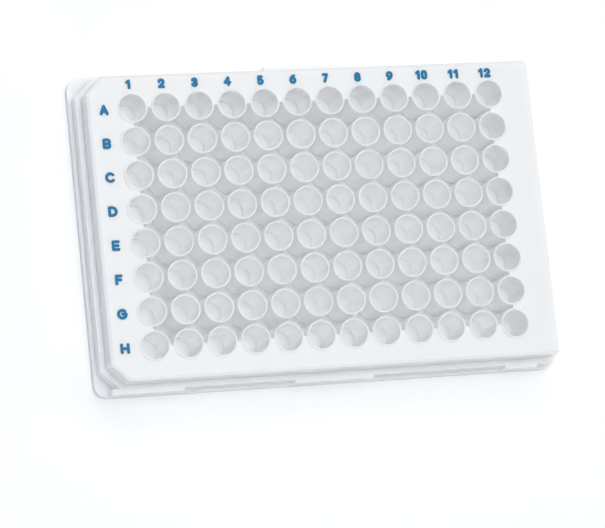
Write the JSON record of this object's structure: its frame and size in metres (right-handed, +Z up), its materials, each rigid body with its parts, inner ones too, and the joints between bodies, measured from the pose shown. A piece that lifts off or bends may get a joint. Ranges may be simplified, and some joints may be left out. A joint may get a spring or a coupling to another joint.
{
  "type": "well plate",
  "caption": "Flat white plastic laboratory plate with a grid of round flat-bottomed wells, standing on a stepped skirt.",
  "frame": {"origin": "middle of the foot, on the surface that the plate stands on", "axes": "+X along a row of wells, from column 1 to column 12; +Y along a column, from row H to row A; +Z up, out of the wells"},
  "size_m": [0.1278, 0.0854, 0.0143],
  "materials": {
    "white_plastic": "satin moulded, opaque white"
  },
  "bodies": {
    "root": {"plate": "white_plastic"}
  },
  "joints": []
}
